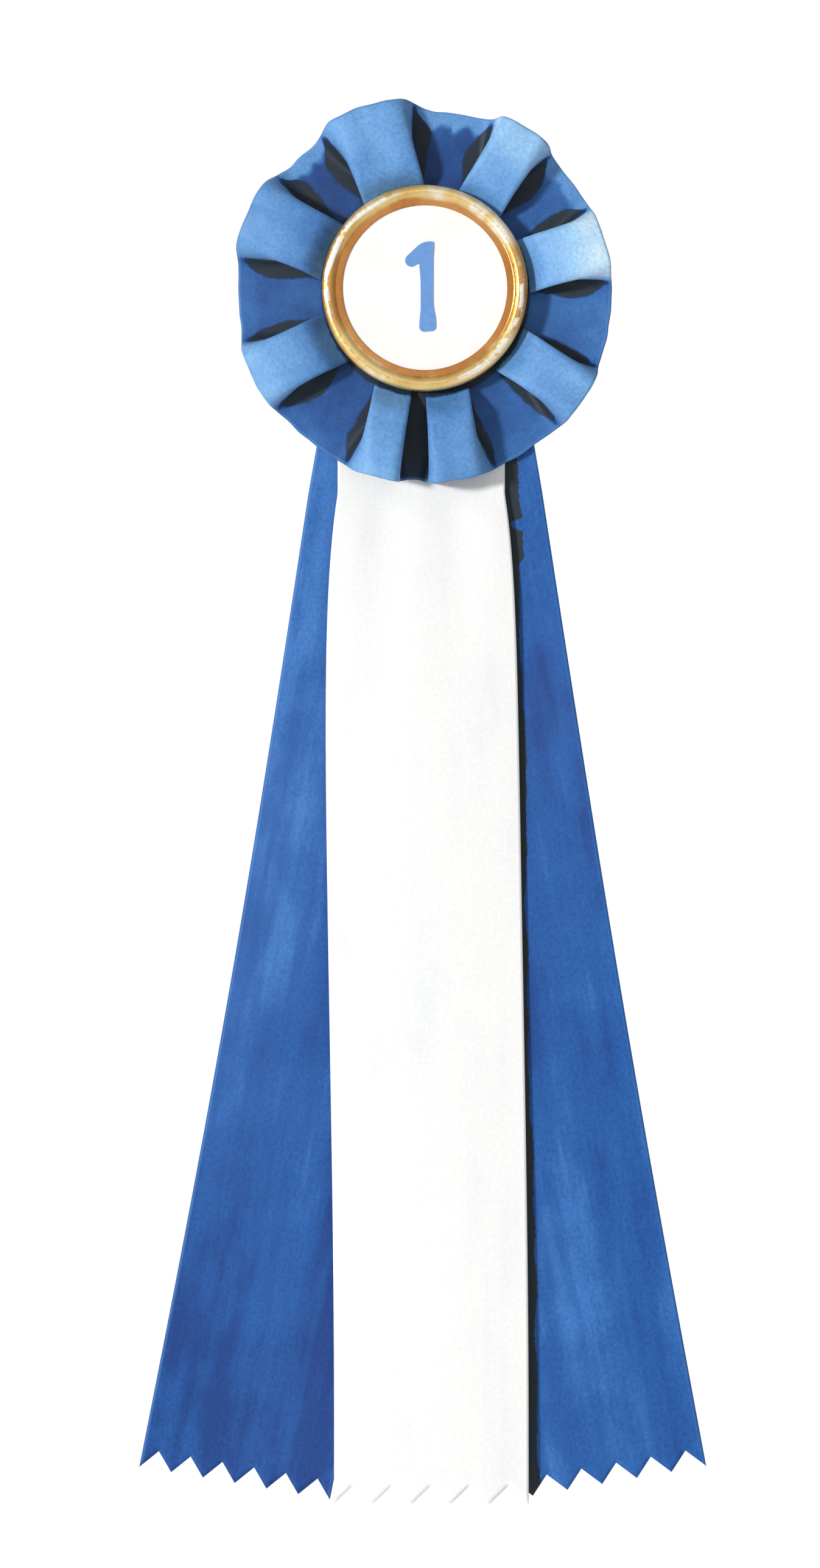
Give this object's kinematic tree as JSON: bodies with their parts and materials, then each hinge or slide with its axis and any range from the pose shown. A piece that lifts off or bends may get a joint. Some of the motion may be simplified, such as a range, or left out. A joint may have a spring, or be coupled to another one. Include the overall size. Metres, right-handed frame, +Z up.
{
  "type": "award ribbon",
  "caption": "Box-pleated satin rosette with a gold-rimmed numbered centre button, a white streamer over two splayed blue streamers, and a locking bar pin on its back.",
  "frame": {"origin": "middle of the bar pin's straight needle, on its axis", "axes": "+Z up along the hanging streamers, +X along the needle towards its point and to the right as seen from the front, -Y out of the front of the button"},
  "size_m": [0.1454, 0.0212, 0.3605],
  "materials": {
    "pleat_satin": "satin",
    "blue_satin": "satin",
    "white_satin": "satin",
    "thread": "matte",
    "card": "matte",
    "cover_card": "matte",
    "gold_metal": "satin",
    "disc_paper": "matte",
    "numeral_print": "matte",
    "pin_brass": "satin",
    "steel": "satin"
  },
  "bodies": {
    "head": {"pleated_ribbon": "pleat_satin", "pleat_stitching": "thread", "support_disc": "card", "back_cover": "cover_card", "white_tail_root": "white_satin", "left_tail_root": "blue_satin", "right_tail_root": "blue_satin", "tail_staples": "steel", "gold_rim": "gold_metal", "centre_disc": "disc_paper", "numeral": "numeral_print", "button_shell": "steel", "button_collet": "steel", "button_prongs": "steel", "pin_plate": "pin_brass", "hinge_ears": "pin_brass", "hinge_rivet": "steel", "catch": "pin_brass", "pin_rivets": "steel"},
    "white_tail": {"white_tail": "white_satin"},
    "left_tail": {"left_tail": "blue_satin"},
    "right_tail": {"right_tail": "blue_satin"},
    "needle": {"needle": "steel"},
    "lock_barrel": {"lock_barrel": "steel"}
  },
  "joints": [
    {"name": "white_tail_swing", "type": "hinge", "parent": "head", "child": "white_tail", "pos_m": [0, -0.01, -0.0635], "axis": [-1, 0, 0], "range_deg": [0, 75]},
    {"name": "left_tail_swing", "type": "hinge", "parent": "head", "child": "left_tail", "pos_m": [0, -0.00805, -0.0635], "axis": [1, 0, 0], "range_deg": [0, 60]},
    {"name": "right_tail_swing", "type": "hinge", "parent": "head", "child": "right_tail", "pos_m": [0, -0.00805, -0.0635], "axis": [1, 0, 0], "range_deg": [0, 60]},
    {"name": "needle_open", "type": "hinge", "parent": "head", "child": "needle", "pos_m": [-0.012, 0, 0], "axis": [0, 0, 1], "range_deg": [0, 75]},
    {"name": "barrel_turn", "type": "hinge", "parent": "head", "child": "lock_barrel", "pos_m": [0.0135, 0, 0], "axis": [1, 0, 0], "range_deg": [0, 90]}
  ],
  "couplings": [
    {"joint": "right_tail_swing", "follows": "left_tail_swing", "ratio": 1}
  ]
}
